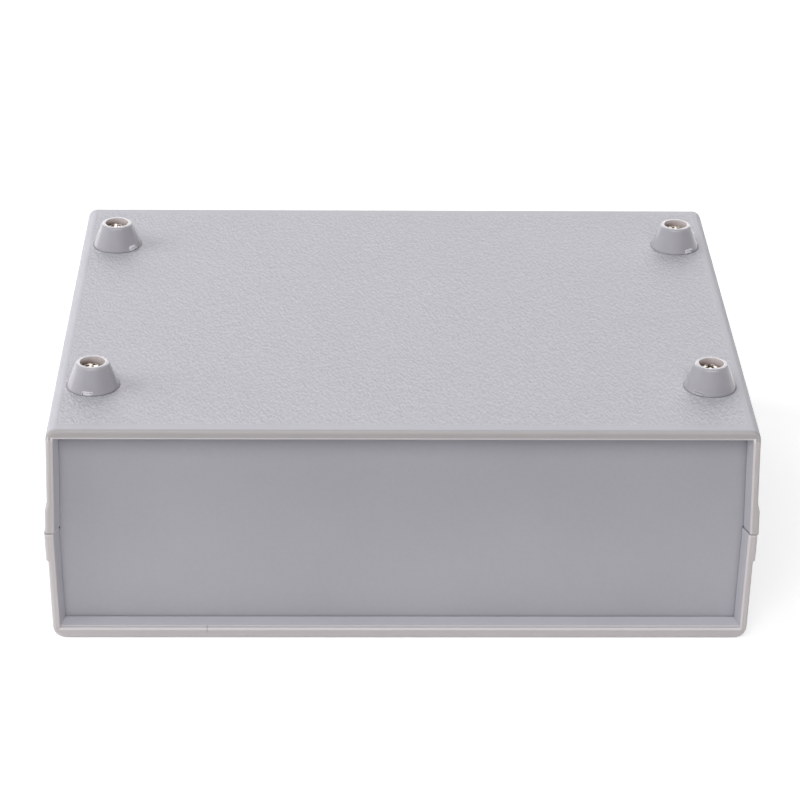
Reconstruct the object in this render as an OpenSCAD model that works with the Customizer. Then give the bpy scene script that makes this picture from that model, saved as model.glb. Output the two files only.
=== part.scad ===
// Two-part desktop project box of moulded ABS, standing upside down on its cover.
// The cover shell lies on the table, two flat panels stand in its grooves, and the
// base shell closes the box from above. Four tapered feet stand on the base, each
// held by a long screw that runs through the base into a boss of the cover.
// X is the width, -Y the front panel, +Z up. Z = 0 is the outer face of the cover.

/* [Case] */
// Outside width of the case, measured at the split line
case_w = 200; // [170:1:240]
// Depth of the case from the front rim to the rear rim
case_d = 160; // [130:1:200]
// Height of the cover shell, from its outer face to the split line
cover_h = 33.8; // [28:0.1:45]
// Height of the base shell, from the split line to its outer face
base_h = 32.6; // [26:0.1:45]
// Lean of the side walls, in mm for each mm of height
wall_draft = 0.024; // [0:0.002:0.04]
// Radius of the long outer edges of the cover
cover_edge_r = 3.6; // [2:0.1:4]
// Radius of the long outer edges of the base
base_edge_r = 2.8; // [2:0.1:4]
// Thickness of the large flat walls
plate_t = 2.5; // [2:0.1:3]
// Thickness of the side walls
side_t = 2.2; // [1.8:0.1:3]
// Radius inside the long edges
room_r = 1.2; // [0.4:0.1:2]
// How far the cover sits to the left of the base, within the play of the split line
shell_shift = 0.3; // [0:0.05:0.3]

/* [Side band] */
// How far the raised band along the split line stands out
band_rise = 0.55; // [0.2:0.05:1]
// Height of the band on the cover shell
cover_band_h = 9; // [5:0.5:14]
// Height of the band on the base shell
base_band_h = 9.5; // [5:0.5:14]
// Height over which the band rises out of the cover's wall
cover_band_taper = 0.4; // [0.2:0.1:4]
// Height over which the band rises out of the base's wall
base_band_taper = 2.5; // [0.2:0.1:4]

/* [Rims and panel grooves] */
// Wall thickness of the cover's rim along its large flat wall
cover_rim_t = 3.3; // [2.8:0.1:4]
// Wall thickness of the base's rim along its large flat wall
base_rim_t = 2.8; // [2.8:0.1:4]
// Wall thickness of both rims along the side walls
rim_side_t = 2.1; // [1.8:0.1:3]
// Rounding of the outer rim edge
rim_round = 0.9; // [0.2:0.1:1]
// Width of the bevel along the inner rim edge
bevel_w = 0.6; // [0.3:0.1:0.9]
// Depth of the bevel
bevel_depth = 0.4; // [0.1:0.05:0.5]
// Depth of the rim, from the end face to the ledge in front of the panel
rim_depth = 1; // [0.8:0.1:1.6]
// Height of the step right behind the rim along the large flat walls
ledge_step = 0.4; // [0:0.05:0.5]
// Depth over which that step rises
step_run = 0.1; // [0.05:0.05:0.3]
// How far the lip of the sloping ledge stands in from the rim
ledge_rise = 1.15; // [0.6:0.05:2]
// Flat lip of the ledge, next to the panel groove
ledge_lip = 0.5; // [0.3:0.1:1]
// Depth from the end face to the front of the panel
panel_setback = 5.2; // [4.5:0.1:8]
// Thickness of the panels
panel_t = 2; // [1.5:0.1:3]
// Clearance between the front of a panel and its ledge
panel_front_gap = 0.35; // [0.1:0.05:0.5]
// Clearance between the back of a panel and the rib
panel_back_gap = 0.1; // [0.05:0.01:0.2]
// Clearance beside and above the panel in its grooves
panel_edge_gap = 0.3; // [0.2:0.05:0.4]
// Wall left outside the groove in the side walls
groove_side_t = 1.2; // [1:0.1:1.4]
// Wall left under the groove in the large flat walls
groove_plate_t = 2; // [1.5:0.1:2.5]
// Thickness of the rib behind the panel
rib_t = 1.6; // [1.2:0.1:2.5]
// Gap in the ledges at the split line
ledge_gap = 0.2; // [0.1:0.1:1]

/* [Split line] */
// Thickness of the tongue on the side walls of the cover
tongue_t = 0.8; // [0.7:0.05:0.9]
// Height of the tongue above the split line
tongue_h = 1.2; // [0.8:0.1:2]
// Clearance round the tongue in the rebate of the base
tongue_gap = 0.4; // [0.35:0.05:0.45]
// Distance from each end of the tongue to the rib behind the panel
tongue_end = 2; // [1:0.5:10]

/* [Screw towers] */
// Distance from the screws to the side of the case
screw_side = 12; // [11:0.5:30]
// Distance from the screws to the nearer end of the case
screw_end = 29; // [18:0.5:50]
// Outside diameter of the towers
tower_d = 9; // [7.5:0.5:10]
// Pilot hole in the towers of the cover
pilot_d = 3; // [2.5:0.1:3.2]
// Depth of the pilot hole below the split line
pilot_depth = 20; // [15:0.5:24]
// Clearance hole for the screw in the base and the feet
screw_hole_d = 3.8; // [3.6:0.1:4.4]
// Thickness of the web between a tower and the side wall
web_t = 1.5; // [1:0.1:2]
// How far the webs end short of the split line
web_drop = 3; // [2.5:0.5:8]

/* [Feet] */
// Diameter of a foot where it stands on the case
foot_base_d = 15; // [13:0.5:18]
// Diameter of a foot at its top, before its edge is rounded
foot_top_d = 9.4; // [9:0.1:11]
// Height of a foot
foot_h = 7.3; // [6:0.1:12]
// Rounding of the top edge
foot_round = 0.9; // [0.3:0.1:1]
// Diameter of the recess for the screw head
foot_recess_d = 7.1; // [7:0.1:7.4]
// Thickness of the foot under the screw head
foot_floor = 3.9; // [1.5:0.1:4.2]
// Diameter of the spigot under the foot
spigot_d = 8; // [6:0.1:8.4]
// Length of the spigot
spigot_h = 1.2; // [0.8:0.1:1.4]
// Clearance round and below the spigot
spigot_gap = 0.1; // [0.05:0.01:0.2]
// Width of the nick that the moulding gate left in the foot's edge
nick_w = 3; // [2:0.1:4]
// Depth of the nick
nick_depth = 0.7; // [0.3:0.1:1]
// Height of the nick
nick_h = 0.8; // [0.4:0.1:1.2]

/* [Screws] */
// Length of a screw under its head
screw_l = 45; // [40:1:50]
// Diameter of the screw under its head, at the root of the thread
screw_d = 2.9; // [2.4:0.05:2.9]
// Length of the point
screw_tip = 3; // [2:0.5:4]
// Diameter of the head
head_d = 6.2; // [5.5:0.1:6.3]
// Height of the head
head_h = 2.4; // [1.8:0.1:2.6]
// Height of the straight edge of the head
head_edge = 0.9; // [0.5:0.1:1.2]
// Width across the cross recess
cross_w = 3.6; // [2.5:0.1:4]
// Width of each slot of the cross recess
cross_slot = 0.9; // [0.6:0.1:1.2]
// Depth of the cross recess
cross_depth = 1.5; // [1:0.1:1.6]

/* [Board standoffs] */
// Distance between the standoffs, across
standoff_dx = 140; // [60:1:150]
// Distance between the standoffs, front to rear
standoff_dy = 90; // [40:1:110]
// Height of the standoffs
standoff_h = 6; // [4:0.5:12]
// Diameter of the standoffs
standoff_d = 7; // [5:0.5:8]
// Pilot hole in the standoffs
standoff_hole_d = 2.5; // [2:0.1:3]

/* [Hidden] */

$fn = 48;
over = 1;
arc_steps = 6;
round_steps = 3;

case_grey = [0.74, 0.73, 0.76];
panel_grey = [0.62, 0.62, 0.65];
foot_grey = [0.66, 0.66, 0.70];
screw_nickel = [0.80, 0.77, 0.70];

case_h = cover_h + base_h;
draft_deg = atan(wall_draft);
cover_x = -shell_shift / 2;
base_x = shell_shift / 2;
groove_w = panel_front_gap + panel_t + panel_back_gap;
groove_y = case_d / 2 - panel_setback + panel_front_gap;
rib_y = groove_y - groove_w - rib_t;
screw_x = case_w / 2 - screw_side;
screw_y = case_d / 2 - screw_end;
spigot_seat = spigot_h + spigot_gap;
screw_seat_z = case_h + foot_floor;

// Corner signs of the screws and feet: front left, front right, rear left, rear right
CORNERS = [[-1, -1], [1, -1], [-1, 1], [1, 1]];
// Direction in which the gate nick of each foot points
NICK_TURN = [-99, -125, -45, -57];
// Turn of the cross recess in each screw head
CROSS_TURN = [20, 40, 10, 65];

// ---- section of a shell --------------------------------------------------
// A section lies in X and Z. Z runs from 0 at the outer face of the shell to h at
// the split line, and the side walls lean out towards the split line.

function half_width(h, z) = case_w / 2 - wall_draft * (h - z);

function corner_arc(xc, zc, r) = r <= 0 ? [[xc, zc]] : [
    for (i = [0 : arc_steps])
        let (a = -90 + i * (90 - draft_deg) / arc_steps)
        [xc + r * cos(a), zc + r * sin(a)]
];

function rounded_corner(h, side, plate, r) =
    let (zc = plate + r)
    corner_arc(half_width(h, zc) - side - r / cos(draft_deg), zc, r);

function both_sides(half) = concat(half, [
    for (i = [len(half) - 1 : -1 : 0]) [-half[i][0], half[i][1]]
]);

// Room inside a wall that is side thick at the sides and plate thick at the bottom
function room_section(h, side, plate, r = 0) = both_sides(concat(
    rounded_corner(h, side, plate, r),
    [[half_width(h, h + over) - side, h + over]]
));

// Outline of the shell with its raised band, drawn in by inset all round
function outer_section(h, edge_r, band_h, band_taper, inset) =
    let (z0 = h - band_h, z1 = z0 + band_taper)
    both_sides(concat(
        rounded_corner(h, inset, inset, edge_r - inset),
        [
            [half_width(h, z0) - inset, z0],
            [half_width(h, z1) + band_rise - inset, z1],
            [half_width(h, h) + band_rise - inset, h]
        ]
    ));

// Skin drawn over sections that stand at the given places along Y
module loft(places, sections) {
    m = len(sections[0]);
    n = len(sections);
    points = [for (j = [0 : n - 1]) for (p = sections[j]) [p[0], places[j], p[1]]];
    walls = [
        for (j = [0 : n - 2]) for (k = [0 : m - 1])
            let (next = (k + 1) % m)
            [j * m + k, j * m + next, (j + 1) * m + next, (j + 1) * m + k]
    ];
    front = [for (k = [m - 1 : -1 : 0]) k];
    rear = [for (k = [0 : m - 1]) (n - 1) * m + k];
    polyhedron(points = points, faces = concat([front, rear], walls), convexity = 6);
}

// Prism of a section between two places along Y
module along_y(y0, y1, section) {
    translate([0, y1, 0])
        rotate([90, 0, 0])
            linear_extrude(y1 - y0)
                polygon(section);
}

// Prism at the front and its mirror image at the rear
module both_ends() {
    children();
    mirror([0, 1, 0]) children();
}

// ---- shells ----------------------------------------------------------------

// Place along Y and inset of each section that rounds the front rim edge
function rim_rings() = concat(
    [[-case_d / 2 - over, rim_round]],
    [for (i = [round_steps : -1 : 0])
        let (a = i * 90 / round_steps)
        [rim_round * (1 - sin(a)) - case_d / 2, rim_round * (1 - cos(a))]]
);

// Solid outer form of a shell, cut flat at both rims
module shell_skin(h, edge_r, band_h, band_taper) {
    front = rim_rings();
    rear = [for (i = [len(front) - 1 : -1 : 0]) [-front[i][0], front[i][1]]];
    rings = concat(front, rear);
    intersection() {
        loft(
            [for (r = rings) r[0]],
            [for (r = rings) outer_section(h, edge_r, band_h, band_taper, r[1])]
        );
        cube([2 * case_w, case_d, 4 * h], center = true);
    }
}

// Wedge that bevels the inner edge of the front rim
module mouth_bevel(h, rim_t) {
    y0 = -case_d / 2;
    loft(
        [y0 - bevel_depth, y0 + bevel_depth],
        [
            room_section(h, rim_side_t - 2 * bevel_w, rim_t - 2 * bevel_w),
            room_section(h, rim_side_t, rim_t)
        ]
    );
}

// Room in front of the panel groove: straight in the rim, then narrowing along the sloping
// ledge to its lip
module mouth(h, rim_t) {
    y0 = -case_d / 2;
    run = -groove_y - y0 - rim_depth - step_run;
    climb = run / (run - ledge_lip);
    loft(
        [y0 - over, y0 + rim_depth, y0 + rim_depth + step_run, -groove_y],
        [
            room_section(h, rim_side_t, rim_t),
            room_section(h, rim_side_t, rim_t),
            room_section(h, rim_side_t, rim_t + ledge_step),
            room_section(h, rim_side_t + climb * ledge_rise,
                rim_t + ledge_step + climb * (ledge_rise - ledge_step))
        ]
    );
}

// Trough with open ends, a rim and a panel groove at each end
module shell_trough(h, edge_r, band_h, band_taper, rim_t) {
    difference() {
        shell_skin(h, edge_r, band_h, band_taper);
        along_y(-case_d, case_d, room_section(h, rim_side_t + ledge_rise, rim_t + ledge_rise));
        along_y(-rib_y, rib_y, room_section(h, side_t, plate_t, room_r));
        both_ends() {
            mouth(h, rim_t);
            along_y(-groove_y, groove_w - groove_y, room_section(h, groove_side_t, groove_plate_t));
            mouth_bevel(h, rim_t);
        }
    }
}

// Four round towers, each joined to its side wall by a web
module towers(h) {
    wall_x = half_width(h, 0) - side_t / 2;
    for (c = CORNERS) {
        translate([c[0] * screw_x, c[1] * screw_y, plate_t / 2])
            cylinder(h = h - plate_t / 2, d = tower_d);
        translate([c[0] * (screw_x + wall_x) / 2, c[1] * screw_y, h / 2 - web_drop / 2 + plate_t / 4])
            cube([wall_x - screw_x, web_t, h - web_drop - plate_t / 2], center = true);
    }
}

module at_screws(z) {
    for (c = CORNERS)
        translate([c[0] * screw_x, c[1] * screw_y, z]) children();
}

// Strip along the inner half of each side wall at the split line
module wall_strips(inner_x, outer_x, z0, z1, length) {
    for (s = [-1, 1])
        translate([s * (inner_x + outer_x) / 2, 0, (z0 + z1) / 2])
            cube([outer_x - inner_x, length, z1 - z0], center = true);
}

module cover_shell() {
    inner_x = case_w / 2 - side_t;
    color(case_grey) translate([cover_x, 0, 0]) difference() {
        union() {
            shell_trough(cover_h, cover_edge_r, cover_band_h, cover_band_taper, cover_rim_t);
            towers(cover_h);
            wall_strips(inner_x, inner_x + tongue_t, cover_h - tongue_h,
                cover_h + tongue_h, 2 * (rib_y - tongue_end));
        }
        at_screws(cover_h - pilot_depth)
            cylinder(h = pilot_depth + over, d = pilot_d);
    }
}

module standoffs() {
    for (sx = [-1, 1]) for (sy = [-1, 1])
        translate([sx * standoff_dx / 2, sy * standoff_dy / 2, plate_t / 2])
            cylinder(h = standoff_h + plate_t / 2, d = standoff_d);
}

module standoff_holes() {
    for (sx = [-1, 1]) for (sy = [-1, 1])
        translate([sx * standoff_dx / 2, sy * standoff_dy / 2, plate_t])
            cylinder(h = standoff_h + over, d = standoff_hole_d);
}

// Drawn with its outer face down, as it is moulded
module base_moulding() {
    inner_x = case_w / 2 - side_t;
    ledge_y = case_d / 2 - rim_depth;
    difference() {
        union() {
            shell_trough(base_h, base_edge_r, base_band_h, base_band_taper, base_rim_t);
            towers(base_h);
            standoffs();
        }
        standoff_holes();
        at_screws(-over) cylinder(h = base_h + 2 * over, d = screw_hole_d);
        at_screws(-over) cylinder(h = spigot_seat + over, d = spigot_d + 2 * spigot_gap);
        wall_strips(inner_x - over, inner_x + tongue_t + tongue_gap, base_h - tongue_h - tongue_gap,
            base_h + over, 2 * (rib_y - tongue_end + tongue_gap));
        // the ledges and ribs end just short of the split line
        for (y0 = [-ledge_y, rib_y])
            translate([0, y0 + (ledge_y - rib_y) / 2, base_h])
                cube([case_w - 2 * rim_side_t, ledge_y - rib_y, 2 * ledge_gap], center = true);
    }
}

module base_shell() {
    color(case_grey)
        translate([base_x, 0, case_h]) mirror([0, 0, 1]) base_moulding();
}

// ---- panels ------------------------------------------------------------------

// Flat panel that stands in the grooves; side is -1 for the front, 1 for the rear
module panel(side) {
    foot_x = min(half_width(cover_h, groove_plate_t), half_width(base_h, groove_plate_t));
    width = 2 * (foot_x - groove_side_t - panel_edge_gap);
    height = case_h - 2 * groove_plate_t - panel_edge_gap;
    y = side * (case_d / 2 - panel_setback - panel_t / 2);
    color(panel_grey)
        translate([0, y, groove_plate_t + height / 2])
            cube([width, panel_t, height], center = true);
}

// ---- feet --------------------------------------------------------------------

// Half outline of the tapered foot, with its rounded top edge
function foot_outline() =
    let (
        base_r = foot_base_d / 2,
        taper = (foot_base_d - foot_top_d) / 2 / foot_h,
        lean = atan(taper),
        zc = foot_h - foot_round,
        xc = base_r - taper * zc - foot_round / cos(lean),
        steps = 2 * round_steps
    )
    concat(
        [[0, 0], [base_r, 0]],
        [for (i = [0 : steps]) let (a = lean + i * (90 - lean) / steps)
            [xc + foot_round * cos(a), zc + foot_round * sin(a)]],
        [[0, foot_h]]
    );

// Tapered foot with a recess for the screw head and a spigot that sits in the base
module foot(corner) {
    c = CORNERS[corner];
    color(foot_grey) translate([base_x + c[0] * screw_x, c[1] * screw_y, case_h])
        difference() {
            union() {
                rotate_extrude($fn = 64) polygon(foot_outline());
                translate([0, 0, -spigot_h]) cylinder(h = spigot_h + over, d = spigot_d);
            }
            translate([0, 0, foot_floor]) cylinder(h = foot_h, d = foot_recess_d);
            translate([0, 0, -foot_h]) cylinder(h = 2 * foot_h, d = screw_hole_d);
            rotate([0, 0, NICK_TURN[corner]])
                translate([foot_base_d / 2 - nick_depth, -nick_w / 2, -over])
                    cube([foot_base_d, nick_w, nick_h + over]);
        }
}

// ---- screws --------------------------------------------------------------------

// Half outline of a pan head screw; Z = 0 is the underside of the head
function screw_outline() =
    let (
        r = screw_d / 2,
        head_r = head_d / 2,
        dome = head_h - head_edge,
        steps = 2 * round_steps
    )
    concat(
        [[0, -screw_l], [r, screw_tip - screw_l], [r, 0], [head_r, 0], [head_r, head_edge]],
        [for (i = [1 : steps]) let (a = i * 90 / steps)
            [head_r * cos(a), head_edge + dome * sin(a)]]
    );

// Long self-tapping screw with a cross recess
module screw(corner) {
    c = CORNERS[corner];
    color(screw_nickel) translate([cover_x + c[0] * screw_x, c[1] * screw_y, screw_seat_z])
        difference() {
            rotate_extrude() polygon(screw_outline());
            for (turn = [0, 90])
                rotate([0, 0, turn + CROSS_TURN[corner]])
                    translate([-cross_w / 2, -cross_slot / 2, head_h - cross_depth])
                        cube([cross_w, cross_slot, head_h]);
        }
}

cover_shell();
base_shell();
panel(-1);  // front_panel
panel(1);  // rear_panel
foot(0);  // foot_front_left
foot(1);  // foot_front_right
foot(2);  // foot_rear_left
foot(3);  // foot_rear_right
screw(0);  // screw_front_left
screw(1);  // screw_front_right
screw(2);  // screw_rear_left
screw(3);  // screw_rear_right
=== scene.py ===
"""Looks of the plastic project box: materials, screw threads and studio round the CAD frame."""
import math

import bmesh
import bpy
from mathutils import Matrix, Vector


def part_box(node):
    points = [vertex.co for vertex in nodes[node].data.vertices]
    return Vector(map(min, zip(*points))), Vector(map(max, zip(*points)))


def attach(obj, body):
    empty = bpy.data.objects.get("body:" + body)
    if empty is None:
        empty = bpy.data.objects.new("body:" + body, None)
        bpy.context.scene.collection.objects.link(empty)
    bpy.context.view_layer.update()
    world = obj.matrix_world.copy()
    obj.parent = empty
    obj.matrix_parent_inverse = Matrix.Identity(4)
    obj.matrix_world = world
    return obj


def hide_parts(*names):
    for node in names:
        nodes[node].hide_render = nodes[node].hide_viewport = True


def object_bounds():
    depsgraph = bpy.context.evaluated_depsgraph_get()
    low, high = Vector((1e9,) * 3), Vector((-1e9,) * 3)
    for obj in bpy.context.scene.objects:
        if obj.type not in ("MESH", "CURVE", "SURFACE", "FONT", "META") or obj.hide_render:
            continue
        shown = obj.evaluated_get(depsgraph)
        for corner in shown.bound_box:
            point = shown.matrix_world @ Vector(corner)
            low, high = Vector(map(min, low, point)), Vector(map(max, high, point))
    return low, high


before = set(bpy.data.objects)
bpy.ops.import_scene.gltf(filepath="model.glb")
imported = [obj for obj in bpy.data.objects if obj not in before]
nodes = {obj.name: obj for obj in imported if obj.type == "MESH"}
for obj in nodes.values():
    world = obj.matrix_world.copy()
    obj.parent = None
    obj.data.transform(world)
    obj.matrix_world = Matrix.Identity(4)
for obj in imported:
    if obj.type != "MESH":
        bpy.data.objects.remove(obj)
cad_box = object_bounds()
MM = 0.001
CORNERS = ("front_left", "front_right", "rear_left", "rear_right")


def box_mm(name):
    """Low and high corner of the box round a piece, in millimetres."""
    low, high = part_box(name)
    return low / MM, high / MM


def foot_middle(corner):
    low, high = box_mm("foot_" + corner)
    return (low + high) / 2


def srgb(r, g, b):
    """Linear RGBA of an sRGB colour given from 0 to 255."""
    def lin(v):
        v /= 255
        return v / 12.92 if v <= 0.04045 else ((v + 0.055) / 1.055) ** 2.4
    return (lin(r), lin(g), lin(b), 1)


# ---- measures in millimetres, turns in degrees -------------------------------

TOP = box_mm("base_shell")[1].z             # outer face of the base, which carries the feet
SPLIT = box_mm("cover_shell")[1].z - 1.2    # split line, 1.2 below the tip of the cover's tongue
GRAIN_X, GRAIN_Y = 96.3, 76.2               # half size of the grained field on the large faces
GRAIN_FADE = 0.7                            # width over which the grain sets in
SLOT_END = (97.3, 74.8, SPLIT - 0.45)       # where the seam of the shells meets the edge of a panel
RIM_Y = 78.8                                # beyond it lie only the rims round the two panels
OPENING_X = 98.4                            # just inside the side parts of the rims
SCRATCH_X = -55.4                           # short scratch low on the front rim
RIGHT_FOOT, LEFT_FOOT = foot_middle("front_right"), foot_middle("front_left")
FEET_X = (RIGHT_FOOT - LEFT_FOOT).x / 2     # half distance between the feet
FEET_MIDDLE = RIGHT_FOOT.x - FEET_X
FOOT_EDGE = 7.45                            # just inside the edge of a foot, whose radius is 7.5
FOOT_SLOPE = 0.384                          # taper of a foot: (15 - 9.4) / 2 on a height of 7.3
RECESS = 3.62                               # just outside the recess of a foot, radius 3.55
NICK_RADIUS = 7.2                           # from the middle of a foot to its gate nick
NICK_TURN = {"front_left": -99, "front_right": -125, "rear_left": -45, "rear_right": -57}
# How white the torn gate is; the gate of the front right foot is cut flush, not torn.
TORN = {"front_left": 0.95, "front_right": 0.2, "rear_left": 1.0, "rear_right": 1.0}
# How far the whitening reaches above the nick.
TEAR_HEIGHT = {"front_left": 0.85, "front_right": 0.85, "rear_left": 1.3, "rear_right": 0.95}
CROSS_TURN = {"front_left": 20, "front_right": 40, "rear_left": 10, "rear_right": 65}

# ---- colours -----------------------------------------------------------------

# Darkest and lightest tone of each material.
SHELL = srgb(176, 175, 183), srgb(203, 202, 210)
PANEL = srgb(162, 161, 168), srgb(184, 183, 190)
FOOT = srgb(149, 147, 155), srgb(172, 169, 176)
TEAR = srgb(216, 214, 220), srgb(246, 244, 248)
# The dark end of the nickel is a painted dark brown reflection.
NICKEL_AND_REFLECTION = srgb(98, 76, 62), srgb(206, 201, 195)
# Rims round the panels, their bars under and over a panel, and the bevels and lip: painted light
# and shade, the cover's half and the lower bar lighter, the base's half and the upper bar darker,
# all with a warm painted reflection, and painted highlights on the bevels and the lip.
COVER_RIM_PAINTED_LIGHT, BASE_RIM_PAINTED_SHADE = srgb(206, 198, 198), srgb(193, 185, 184)
LOW_BAR_PAINTED_LIGHT, HIGH_BAR_PAINTED_SHADE = srgb(198, 191, 191), srgb(168, 163, 162)
BEVEL_PAINTED_HIGHLIGHT, LIP_PAINTED_HIGHLIGHT = srgb(240, 235, 236), srgb(236, 231, 232)
# Marks and details, among them painted shade and light: the contact shadow round the feet, the
# shadow in the gaps at the ends of the seam, light and shade in the recess of a foot, and a shadow
# low on the front right foot.
SEAM_AND_FOOT_SHADOW, SCRATCH_AND_GAP_SHADOW = srgb(96, 94, 100), srgb(50, 46, 46)
DUST = srgb(214, 212, 208)
FOOT_TOP_PAINTED_LIGHT, RECESS_PAINTED_LIGHT = srgb(214, 206, 210), srgb(216, 208, 209)
RECESS_DEEP_PAINTED_SHADE, RECESS_SHADE = srgb(160, 132, 116), srgb(118, 86, 70)
WHITENED, FOOT_BASE_SHADOW, CUT_GATE = srgb(250, 248, 252), srgb(60, 56, 66), srgb(172, 172, 178)
PAPER, WHITE = srgb(250, 250, 250), (1, 1, 1, 1)


# ---- node helpers ------------------------------------------------------------

class Tree:
    """Small wrapper that adds and links nodes in one line each."""

    def __init__(self, name, world=False):
        data = bpy.data.worlds if world else bpy.data.materials
        self.material = data.new(name)
        self.material.use_nodes = True
        self.nodes = self.material.node_tree.nodes
        self.links = self.material.node_tree.links
        self.nodes.clear()
        self.out = self.nodes.new("ShaderNodeOutputWorld" if world else "ShaderNodeOutputMaterial")

    def add(self, kind, inputs=None, **settings):
        node = self.nodes.new("ShaderNode" + kind)
        for key, value in settings.items():
            setattr(node, key, value)
        for key, value in (inputs or {}).items():
            self.put(node.inputs[key], value)
        return node

    def put(self, socket, value):
        if isinstance(value, bpy.types.NodeSocket):
            self.links.new(value, socket)
        else:
            socket.default_value = value

    def finish(self, node):
        """Links the last node to the output."""
        self.links.new(node.outputs[0], self.out.inputs["Surface"])
        return self.material

    def math(self, operation, *values):
        return self.add("Math", dict(enumerate(values)), operation=operation).outputs[0]

    def size(self, value):
        return self.math("ABSOLUTE", value)

    def sum(self, *terms):
        total = terms[0]
        for term in terms[1:]:
            total = self.math("ADD", total, term)
        return total

    def product(self, *factors):
        total = factors[0]
        for factor in factors[1:]:
            total = self.math("MULTIPLY", total, factor)
        return total

    def swing(self, noise, amount):
        """Variation of a noise to both sides of its middle, times the amount."""
        return self.product(self.math("SUBTRACT", noise, 0.5), amount)

    def vector(self, operation, *values):
        """Result of a vector operation, a number or a vector as the operation has it."""
        node = self.add("VectorMath", dict(enumerate(values)), operation=operation)
        is_number = operation in ("DISTANCE", "DOT_PRODUCT", "LENGTH")
        return node.outputs["Value" if is_number else "Vector"]

    def ramp(self, value, low, high, to_low=0.0, to_high=1.0):
        """Smooth step between two values, which may also run downwards."""
        node = self.add("MapRange", {"Value": value, "From Min": low, "From Max": high,
                                     "To Min": to_low, "To Max": to_high},
                        interpolation_type="SMOOTHSTEP")
        return node.outputs[0]

    def band(self, value, middle, outer, inner):
        """1 within the inner distance of the middle, fading to 0 at the outer one."""
        return self.ramp(self.size(self.math("SUBTRACT", value, middle)), outer, inner)

    def mix(self, factor, a, b):
        node = self.add("Mix", {0: factor, 6: a, 7: b}, data_type="RGBA")
        return node.outputs[2]

    def mix_value(self, factor, a, b):
        return self.add("Mix", {0: factor, 2: a, 3: b}).outputs[0]

    def millimetres(self):
        """Place on the part in millimetres, as a vector and as its three parts."""
        where = self.add("TexCoord").outputs["Object"]
        at = self.vector("MULTIPLY", where, (1000, 1000, 1000))
        return at, self.add("SeparateXYZ", {0: at}).outputs

    def noise(self, at, scale, detail=2.0):
        return self.add("TexNoise", {"Vector": at, "Scale": scale, "Detail": detail}).outputs[0]

    def flat_normal(self):
        return self.add("NewGeometry").outputs["Normal"]

    def bevel(self, radius, samples=6):
        return self.add("Bevel", {"Radius": radius}, samples=samples).outputs[0]

    def rounded(self, radius):
        """Normal with edges rounded by the radius, and how near a point is to such an edge."""
        normal = self.bevel(radius)
        return normal, self.ramp(self.vector("DOT_PRODUCT", normal, self.flat_normal()), 0.98, 0.8)

    def seen(self):
        """1 for rays from the camera and in reflections, 0 for rays that carry light."""
        path = self.add("LightPath").outputs
        return self.math("MAXIMUM", path["Is Camera Ray"], path["Is Glossy Ray"])

    def surface(self, colour, roughness, height, depth, normal, **extra):
        """Principled surface with a relief of the given depth in metres."""
        bump = self.add("Bump", {"Height": height, "Distance": depth, "Strength": 1.0,
                                 "Normal": normal}).outputs[0]
        inputs = {"Base Color": colour, "Roughness": roughness, "Normal": bump}
        inputs.update(extra)
        return self.finish(self.add("BsdfPrincipled", inputs))


def dress(obj, material):
    obj.data.materials.clear()
    obj.data.materials.append(material)


# ---- plastics ----------------------------------------------------------------

def slot_end_shadow(t, x, y, z):
    """Mask of the painted shadow in the gaps at the four ends of the seam, folded into one quarter.
    """
    folded = t.add("CombineXYZ", {0: t.size(x), 1: t.size(y), 2: z}).outputs[0]
    return t.ramp(t.vector("DISTANCE", folded, SLOT_END), 1.0, 0.5)


def foot_contact(t, x, y):
    """Mask of the large face close to the four feet, where a contact shadow is painted."""
    folded = t.add("CombineXYZ", {0: t.size(t.math("SUBTRACT", x, FEET_MIDDLE)),
                                  1: t.size(y), 2: TOP}).outputs[0]
    away = t.vector("DISTANCE", folded, (FEET_X, abs(RIGHT_FOOT.y), TOP))
    return t.ramp(away, FOOT_EDGE + 0.55, FOOT_EDGE)


def panel_rim(t, x, y, z):
    """Mask and colour of the rims round the two panels: painted light and shade on the rims, with
    painted highlights on the bevels inside.
    """
    slope = t.size(t.add("SeparateXYZ", {0: t.flat_normal()}).outputs[1])
    rim = t.product(t.ramp(t.size(y), RIM_Y - 1.8, RIM_Y + 0.6), t.ramp(slope, 0.1, 0.5))
    mouth = t.product(t.ramp(z, 2.1, 2.5), t.ramp(z, TOP - 1.9, TOP - 2.3),
                      t.ramp(t.size(x), OPENING_X + 0.4, OPENING_X))
    # painted highlight on the bevels inside the rims
    bevel = t.product(t.math("GREATER_THAN", t.size(y), RIM_Y + 0.1),
                      t.ramp(slope, 0.99, 0.95), t.ramp(slope, 0.2, 0.4),
                      t.mix_value(mouth, 0.15, t.ramp(z, TOP - 4, TOP - 3, 0.4, 0.95)))
    # painted light and shade: the cover's half and the lower bar lighter, the base's half and the
    # upper bar darker, with a warm painted reflection
    colour = t.mix(t.ramp(z, SPLIT - 0.2, SPLIT + 0.2), COVER_RIM_PAINTED_LIGHT, BASE_RIM_PAINTED_SHADE)
    colour = t.mix(t.ramp(z, 4.0, 2.8), colour, LOW_BAR_PAINTED_LIGHT)
    colour = t.mix(t.ramp(z, TOP - 3.4, TOP - 2.8), colour, HIGH_BAR_PAINTED_SHADE)
    return rim, t.mix(bevel, colour, BEVEL_PAINTED_HIGHLIGHT)


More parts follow.
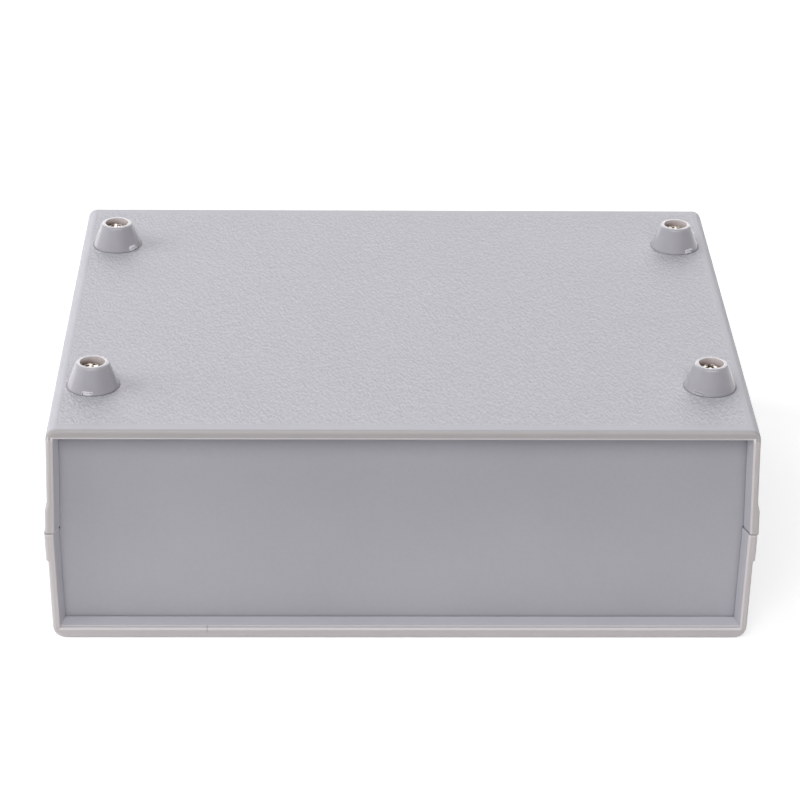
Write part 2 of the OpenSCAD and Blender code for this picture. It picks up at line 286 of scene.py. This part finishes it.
def shell_material():
    """Grey moulded plastic: leather grain on the large outer faces inside a plain border, with
    painted light and shade on the grain, on the rims and the lip, round the feet and at the ends of
    the seam.
    """
    t = Tree("shell_plastic")
    at, (x, y, z) = t.millimetres()
    normal, edge = t.rounded(0.00035)
    satin, cloud = t.noise(at, 5.0), t.noise(at, 0.03, 3.0)

    outer = t.math("MAXIMUM", t.math("GREATER_THAN", z, TOP - 0.05), t.math("LESS_THAN", z, 0.05))
    from_edge = t.math("MINIMUM", t.math("SUBTRACT", GRAIN_X, t.size(x)),
                       t.math("SUBTRACT", GRAIN_Y, t.size(y)))
    grained = t.product(outer, t.ramp(from_edge, 0.0, GRAIN_FADE))
    cells = t.add("TexVoronoi", {"Vector": at, "Scale": 0.62},
                  feature="DISTANCE_TO_EDGE").outputs["Distance"]
    fine, ahead, behind = (
        t.noise(t.vector("MULTIPLY_ADD", at, (2.1, 1, 1), (0, step, 0)), 0.85, 2.5)
        for step in (0, 0.5, -0.5))
    grain = t.sum(t.product(t.ramp(cells, 0.0, 0.35), 0.35), t.product(fine, 1.3))
    tone = t.sum(0.5, t.swing(cloud, 0.5), t.swing(satin, 0.16),
                 t.product(t.math("SUBTRACT", grain, 0.74), grained, 0.6),
                 t.product(t.math("SUBTRACT", ahead, behind), grained, 1.8),    # painted light and shade on the grain
                 t.product(t.math("SUBTRACT", grained, outer), 0.2),            # darker border
                 t.product(edge, 0.22))
    colour = t.mix(tone, *SHELL)
    rim, rim_painted_tone = panel_rim(t, x, y, z)
    # painted light and shade of the rims
    colour = t.mix(t.product(rim, 0.85), colour, rim_painted_tone)

    seam = t.band(z, SPLIT, 0.18, 0.06)
    # dark seam, and painted contact shadow round the feet
    contact = t.product(outer, foot_contact(t, x, y))
    seam_and_foot_shadow = t.math("MAXIMUM", t.product(seam, 0.3), t.product(contact, 0.75))
    colour = t.mix(seam_and_foot_shadow, colour, SEAM_AND_FOOT_SHADOW)
    # painted highlight on the lip just below the seam
    lip_highlight = t.band(z, SPLIT - 0.5, 0.3, 0.1)
    colour = t.mix(t.product(lip_highlight, 0.35), colour, LIP_PAINTED_HIGHLIGHT)
    scratch = t.product(t.math("LESS_THAN", y, -RIM_Y), t.ramp(z, 3.9, 3.6),
                        t.band(x, SCRATCH_X, 0.35, 0.1), t.ramp(z, 1.6, 2.4))
    # painted shadow in the gaps at the ends of the seam, and the dark scratch
    gap_shadow_and_scratch = t.math("MAXIMUM", slot_end_shadow(t, x, y, z), t.product(scratch, 0.25))
    colour = t.mix(gap_shadow_and_scratch, colour, SCRATCH_AND_GAP_SHADOW)

    roughness = t.sum(0.44, t.swing(cloud, 0.2), t.product(grained, 0.06), t.product(edge, -0.08))
    height = t.sum(t.product(t.math("SUBTRACT", grain, 1.0), grained), t.product(satin, 0.06),
                   t.product(seam, -1.0))
    return t.surface(colour, roughness, height, 0.00014, normal)


def panel_material():
    """Darker satin plastic of the end panels, with a few specks of dust and painted shade towards
    the top.
    """
    t = Tree("panel_plastic")
    at, (x, y, z) = t.millimetres()
    normal, edge = t.rounded(0.00025)
    satin, cloud = t.noise(at, 0.9, 3.0), t.noise(at, 0.025, 3.0)
    speck = t.add("TexVoronoi", {"Vector": at, "Scale": 0.055}).outputs["Distance"]
    dust = t.product(t.ramp(speck, 0.016, 0.006), 0.25)
    tone = t.sum(0.5, t.swing(cloud, 0.5), t.swing(satin, 0.26), t.product(edge, 0.3),
                 t.ramp(z, 15.0, 56.0, 0.17, -0.33))        # painted shade, darker upwards
    colour = t.mix(dust, t.mix(tone, *PANEL), DUST)
    # painted shadow in the gaps at the ends of the seam
    colour = t.mix(slot_end_shadow(t, x, y, z), colour, SCRATCH_AND_GAP_SHADOW)
    roughness = t.sum(0.48, t.swing(cloud, 0.2), t.product(dust, 0.4))
    return t.surface(colour, roughness, satin, 0.000004, normal)


def nick_place(corner):
    """Middle of the gate nick low on the side of a foot."""
    middle, turn = foot_middle(corner), math.radians(NICK_TURN[corner])
    return Vector((middle.x + NICK_RADIUS * math.cos(turn),
                   middle.y + NICK_RADIUS * math.sin(turn), TOP + 0.4))


def cone_normal(t, normal, out):
    """Normal with the facets on the cone of a foot replaced by the true slope."""
    cone = t.vector("NORMALIZE", t.vector("ADD", t.vector("NORMALIZE", out), (0, 0, FOOT_SLOPE)))
    flat = t.flat_normal()
    on_cone = t.ramp(t.vector("DOT_PRODUCT", cone, flat), 0.95, 0.98)
    turn = t.vector("MULTIPLY", t.vector("SUBTRACT", cone, flat), on_cone)
    return t.vector("NORMALIZE", t.vector("ADD", normal, turn))


def foot_material(corner):
    """Shiny plastic foot, whitened where its gate was torn off, with painted light and shade on its
    top and in its recess.
    """
    t = Tree("foot_plastic_" + corner)
    at, (x, _, z) = t.millimetres()
    normal, edge = t.rounded(0.0004)
    middle, top = foot_middle(corner), box_mm("foot_" + corner)[1].z
    out = t.vector("MULTIPLY", t.vector("SUBTRACT", at, (middle.x, middle.y, 0)), (1, 1, 0))
    normal = cone_normal(t, normal, out)
    flow, satin = t.noise(at, 0.25, 3.0), t.noise(at, 6.0)
    ragged = t.math("SUBTRACT", t.noise(at, 1.1), 0.5)
    tone = t.sum(0.5, t.swing(flow, 0.5), t.swing(satin, 0.2), t.product(edge, 0.15))
    colour = t.mix(tone, *FOOT)

    # painted light on the top of the foot and on the walls of its recess; deep in the recess
    # painted shade with a warm brown painted reflection of the screw, strongest on the left side
    inside = t.ramp(t.vector("LENGTH", out), RECESS + 0.13, RECESS)
    rim = t.product(t.ramp(z, top - 0.9, top - 0.1), t.math("SUBTRACT", 1.0, inside))
    colour = t.mix(t.product(rim, 0.15), colour, FOOT_TOP_PAINTED_LIGHT)
    colour = t.mix(t.product(inside, 0.95), colour, RECESS_PAINTED_LIGHT)
    deep_shade = t.product(inside, t.ramp(z, top - 0.3, top - 2.0))
    colour = t.mix(t.product(deep_shade, 0.25), colour, RECESS_DEEP_PAINTED_SHADE)
    shade = t.product(deep_shade, t.ramp(x, middle.x + 1.5, middle.x - 3.0))
    colour = t.mix(t.product(shade, 0.9), colour, RECESS_SHADE)

    nick = nick_place(corner)
    tear_top = nick.z + TEAR_HEIGHT[corner]
    torn = t.product(t.ramp(t.sum(t.vector("DISTANCE", at, nick), ragged), 1.8, 1.4),
                     t.ramp(t.sum(z, t.product(ragged, 0.8)), tear_top, tear_top - 0.25))
    colour = t.mix(t.product(torn, TORN[corner]), colour, WHITENED)
    if corner == "front_right":         # painted shadow: small dark patch low on the outer side
        base_shadow_distance = t.vector("DISTANCE", at, (middle.x + 7.25, middle.y - 1.3, TOP + 0.45))
        mask = t.product(t.ramp(t.sum(base_shadow_distance, ragged), 1.5, 1.0), 0.8)
        colour = t.mix(mask, colour, FOOT_BASE_SHADOW)
    roughness = t.sum(0.36, t.swing(flow, 0.1), t.product(torn, 0.3))
    gloss = {"Coat Weight": 1.0, "Coat Roughness": 0.06, "Coat Normal": normal}
    return t.surface(colour, roughness, satin, 0.000003, normal, **gloss)


def torn_plastic(corner):
    """Foot plastic whitened by the tearing of the gate."""
    t = Tree("foot_plastic_torn_" + corner)
    at, _ = t.millimetres()
    tear = t.noise(at, 2.5, 3.0)
    colour = t.mix(TORN[corner], CUT_GATE, t.mix(tear, *TEAR))
    roughness = t.sum(0.5, t.product(tear, 0.2))
    return t.surface(colour, roughness, tear, 0.00006, t.bevel(0.0001, samples=4))


def screw_material():
    """Nickel-plated steel with fine turning marks, patched at random with painted dark brown
    reflections of the shaded recess.
    """
    t = Tree("screw_nickel")
    at, _ = t.millimetres()
    normal, edge = t.rounded(0.00012)
    marks, cloud = t.noise(at, 7.0, 3.0), t.noise(at, 0.5)
    # patches of painted dark brown reflection in the nickel
    reflection_mix = t.ramp(t.noise(at, 1.3), 0.35, 0.65)
    colour = t.mix(t.sum(reflection_mix, t.product(edge, 0.3)), *NICKEL_AND_REFLECTION)
    roughness = t.sum(0.16, t.product(cloud, 0.16))
    return t.surface(colour, roughness, marks, 0.00002, normal, Metallic=1.0)


screw, shell, panel = screw_material(), shell_material(), panel_material()
for name in ("cover_shell", "base_shell"):
    dress(nodes[name], shell)
for name in ("front_panel", "rear_panel"):
    dress(nodes[name], panel)
for corner in CORNERS:
    dress(nodes["foot_" + corner], foot_material(corner))
    dress(nodes["screw_" + corner], screw)


# ---- screws ------------------------------------------------------------------

def new_object(name, vertices, faces, material):
    mesh = bpy.data.meshes.new(name)
    mesh.from_pydata(vertices, [], faces)
    mesh.update()
    obj = bpy.data.objects.new(name, mesh)
    bpy.context.scene.collection.objects.link(obj)
    dress(obj, material)
    return obj


def around(radius, angle, z):
    return (radius * math.cos(angle), radius * math.sin(angle), z)


def revolve(profile, steps):
    """Closed solid of revolution; the profile runs from one point on the axis to another."""
    vertices, faces = [(0, 0, profile[0][1])], []
    for radius, z in profile[1:-1]:
        vertices += [around(radius, 2 * math.pi * i / steps, z) for i in range(steps)]
    vertices.append((0, 0, profile[-1][1]))
    rows = len(profile) - 2
    last = len(vertices) - 1
    for i in range(steps):
        j = (i + 1) % steps
        faces.append((0, 1 + j, 1 + i))
        for r in range(rows - 1):
            a, b = 1 + r * steps, 1 + (r + 1) * steps
            faces.append((a + i, a + j, b + j, b + i))
        top = 1 + (rows - 1) * steps
        faces.append((top + i, top + j, last))
    return vertices, faces


def cross(a, h, z):
    """Outline of a cross with arms of length a and half width h, counter-clockwise."""
    return [(x, y, z) for x, y in ((a, -h), (a, h), (h, h), (h, a), (-h, a), (-h, h),
                                   (-a, h), (-a, -h), (-h, -h), (-h, -a), (h, -a), (h, -h))]


def cross_cutter(head_h, width, slot, depth):
    """Tapered cross with a pointed middle, as a screwdriver tip."""
    levels = [(head_h + 0.5, 1.06, 1.05), (head_h, 1.0, 1.0), (head_h - depth, 0.5, 0.72)]
    vertices = []
    for z, arm, half in levels:
        vertices += cross(width / 2 * arm, slot / 2 * half, z)
    w = len(vertices) // len(levels)
    faces = [tuple(range(w))]
    for a in range(0, len(vertices) - w, w):
        for k in range(w):
            n = (k + 1) % w
            faces.append((a + k, a + w + k, a + w + n, a + n))
    low, tip = len(vertices) - w, len(vertices)
    vertices.append((0, 0, head_h - depth - 0.35))
    for k in range(w):
        faces.append((low + k, tip, low + (k + 1) % w))
    return vertices, faces


def thread(low, high, root, crest, pitch, steps=24):
    """Helical thread round a core, with a run-out at both ends."""
    profile = [(0.0, 0.0), (0.3, 1.0), (0.42, 1.0), (0.72, 0.0), (1.0, 0.0)]    # along, outwards
    count = int(((high - low) / pitch - 1) * steps)
    vertices = []
    for i in range(count + 1):
        angle = 2 * math.pi * i / steps
        z = low + pitch * i / steps
        fade = min(1.0, i / (1.5 * steps), (count - i) / (1.0 * steps))
        vertices += [around(root + (crest - root) * rise * fade, angle, z + pitch * place)
                     for place, rise in profile]
    w = len(profile)
    faces = [(i * w + k, (i + 1) * w + k, (i + 1) * w + k + 1, i * w + k + 1)
             for i in range(count) for k in range(w - 1)]
    return vertices, faces


def join(objects):
    """Merges the others into the first."""
    bm = bmesh.new()
    for obj in objects:
        bm.from_mesh(obj.data)
    bmesh.ops.remove_doubles(bm, verts=bm.verts, dist=0.0005)
    bm.to_mesh(objects[0].data)
    bm.free()
    for obj in objects[1:]:
        bpy.data.objects.remove(obj)


def smooth(obj, degrees):
    """Smooth shading that keeps edges sharper than the angle."""
    for polygon in obj.data.polygons:
        polygon.use_smooth = True
    obj.data.set_sharp_from_angle(angle=math.radians(degrees))


def cut_out(body, cutter):
    """Cuts the cutter from the body and removes it."""
    cut = body.modifiers.new("cross", "BOOLEAN")
    cut.object, cut.operation, cut.solver = cutter, "DIFFERENCE", "EXACT"
    bpy.context.view_layer.update()
    depsgraph = bpy.context.evaluated_depsgraph_get()
    cut_mesh = bpy.data.meshes.new_from_object(body.evaluated_get(depsgraph))
    body.modifiers.clear()
    body.data = cut_mesh
    bpy.data.objects.remove(cutter)


def make_screw(corner, material):
    """Pan-head screw with cross recess and thread, in the place of the plain screw of the frame."""
    node = "screw_" + corner
    low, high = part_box(node)
    middle = (low + high) / 2
    head_r, head_h, head_edge = 3.1, 2.4, 1.3
    length, tip, neck = 45.0, 3.0, -4.0             # the thread ends at the neck
    core_r, crest_r, pitch = 1.12, 1.45, 1.3
    dome = head_h - head_edge
    profile = [(0, -length), (0.25, -length + 0.35), (core_r, -length + tip),   # tip
               (core_r, neck), (crest_r, neck + 0.8), (crest_r, -0.25),         # shank
               (crest_r + 0.2, 0.0), (head_r - 0.12, 0.0), (head_r, 0.12), (head_r, head_edge)]
    for degrees in (8, 18, 30, 42, 54, 66, 78, 85):
        angle = math.radians(degrees)
        profile.append((head_r * math.cos(angle) ** 0.7,
                        head_edge + dome * math.sin(angle) ** 0.85))
    profile.append((0, head_h))
    body = new_object(node + "_detailed", *revolve(profile, 64), material)
    cutter = cross_cutter(head_h, width=3.6, slot=0.9, depth=1.5)
    cut_out(body, new_object("cutter", *cutter, material))
    turns = thread(-length + 1.2, neck, core_r - 0.02, crest_r, pitch)
    spiral = new_object("spiral", *turns, material)
    for point in spiral.data.vertices:              # the thread narrows towards the tip
        reach = (point.co.z + length) / tip
        if reach < 1:
            point.co.x *= max(reach, 0.1)
            point.co.y *= max(reach, 0.1)
    join([body, spiral])
    body.data.transform(Matrix.Translation((middle.x, middle.y, high.z - head_h * MM))
                        @ Matrix.Rotation(math.radians(CROSS_TURN[corner]), 4, "Z")
                        @ Matrix.Scale(MM, 4))
    smooth(body, 35)
    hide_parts(node)
    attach(body, node)


for corner in CORNERS:
    make_screw(corner, screw)


# ---- gates of the feet -------------------------------------------------------

def make_gate_scar(corner, material):
    """Ragged rest of the moulding gate in the nick of a foot."""
    middle, turn = foot_middle(corner), math.radians(NICK_TURN[corner])
    flush = TORN[corner] < 0.5          # cut off, not torn off
    steps, half = 22, (1.5 if flush else 1.42) / NICK_RADIUS
    inner, skin = 6.7, 7.05             # radii of the buried side and of the bottom of the nick
    vertices, faces = [], []
    for i in range(steps + 1):
        share = 2 * i / steps - 1
        wave = math.sin(7 * share + turn) * 0.5 + math.sin(17 * share + 2 * turn) * 0.3
        fade = 1 - share ** 6
        if flush:
            wave, fade = 0, 1
        outer = skin + (0.36 + 0.07 * wave) * fade
        high = TOP + 0.3 + (0.4 + 0.09 * math.sin(11 * share + turn)) * fade
        low = TOP + 0.08 + 0.06 * wave * fade
        for radius, z in ((inner, low), (outer, low), (outer + 0.04, (high + low) / 2),
                          (outer - 0.12, high), (inner, high)):
            x, y, z = around(radius, turn + half * share, z)
            vertices.append(((middle.x + x) * MM, (middle.y + y) * MM, z * MM))
    w = 5                               # corners of one section
    for a in range(0, steps * w, w):
        for k in range(w):
            n = (k + 1) % w
            faces.append((a + k, a + n, a + w + n, a + w + k))
    faces.append(tuple(range(w))[::-1])
    faces.append(tuple(range(steps * w, steps * w + w)))
    scar = new_object("foot_%s_gate_scar" % corner, vertices, faces, material)
    smooth(scar, 40)
    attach(scar, "base")


for corner in CORNERS:
    make_gate_scar(corner, torn_plastic(corner))


# ---- studio, in metres -------------------------------------------------------

def make_floor():
    """White paper that is lit like a floor near the part and fades into the white tent."""
    size, z = 12, cad_box[0].z - 0.0002
    corners = [(-size, -size, z), (size, -size, z), (size, size, z), (-size, size, z)]
    t = Tree("floor_paper")
    away = t.vector("LENGTH", t.add("TexCoord").outputs["Object"])
    strength = t.product(t.seen(), t.ramp(away, 0.35, 1.2, 0.45, 1.0))
    diffuse = t.add("BsdfDiffuse", {"Color": PAPER})
    glow = t.add("Emission", {"Color": WHITE, "Strength": strength})
    t.finish(t.add("AddShader", {0: diffuse.outputs[0], 1: glow.outputs[0]}))
    obj = new_object("floor", corners, [(0, 1, 2, 3)], t.material)


def make_world():
    """White tent, seen by the camera and in reflections; its light comes from the softboxes."""
    t = Tree("studio", world=True)
    t.finish(t.add("Background", {"Color": WHITE, "Strength": t.seen()}))
    bpy.context.scene.world = t.material


def make_softbox(name, place, size, watts, glossy=True):
    """Area light that looks at the middle of the part."""
    data = bpy.data.lights.new(name, "AREA")
    data.shape = "RECTANGLE"
    data.size, data.size_y = size
    data.energy = watts
    obj = bpy.data.objects.new(name, data)
    obj.location = place
    obj.rotation_euler = (Vector((0, 0, 0.04)) - Vector(place)).to_track_quat("-Z", "Y").to_euler()
    obj.visible_glossy = glossy
    bpy.context.scene.collection.objects.link(obj)


def make_camera(place, yaw, pitch, roll, lens):
    """Camera that looks along +y and down, turned to the right by the yaw."""
    yaw, pitch, roll = (math.radians(a) for a in (yaw, pitch, roll))
    ahead = Vector((math.sin(yaw) * math.cos(pitch), math.cos(yaw) * math.cos(pitch),
                    -math.sin(pitch)))
    right = Vector((math.cos(yaw), -math.sin(yaw), 0))
    up = right.cross(ahead)
    right, up = (math.cos(roll) * right + math.sin(roll) * up,
                 math.cos(roll) * up - math.sin(roll) * right)
    data = bpy.data.cameras.new("camera")
    data.sensor_width = 36
    data.lens = lens
    data.clip_end = 100
    obj = bpy.data.objects.new("camera", data)
    turn = Matrix((right, up, -ahead)).transposed().to_4x4()
    obj.matrix_world = Matrix.Translation(place) @ turn
    bpy.context.scene.collection.objects.link(obj)
    bpy.context.scene.camera = obj


make_floor()
make_world()
make_softbox("softbox_back", (0, 1.5, 1.0), (2.4, 1.2), 14.3)
make_softbox("softbox_ahead", (0, -1.3, 1.3), (2.0, 1.0), 21.4)
make_softbox("softbox_left", (-1.5, 0, 0.7), (1.6, 1.2), 19.3, glossy=False)
make_softbox("softbox_right", (1.5, 0, 0.7), (1.6, 1.2), 0.6)
make_camera((-0.017455, -0.817408, 0.437692), yaw=1.2711, pitch=26.1215, roll=0.6756, lens=134.34)
bpy.context.scene.view_settings.view_transform = "Standard"
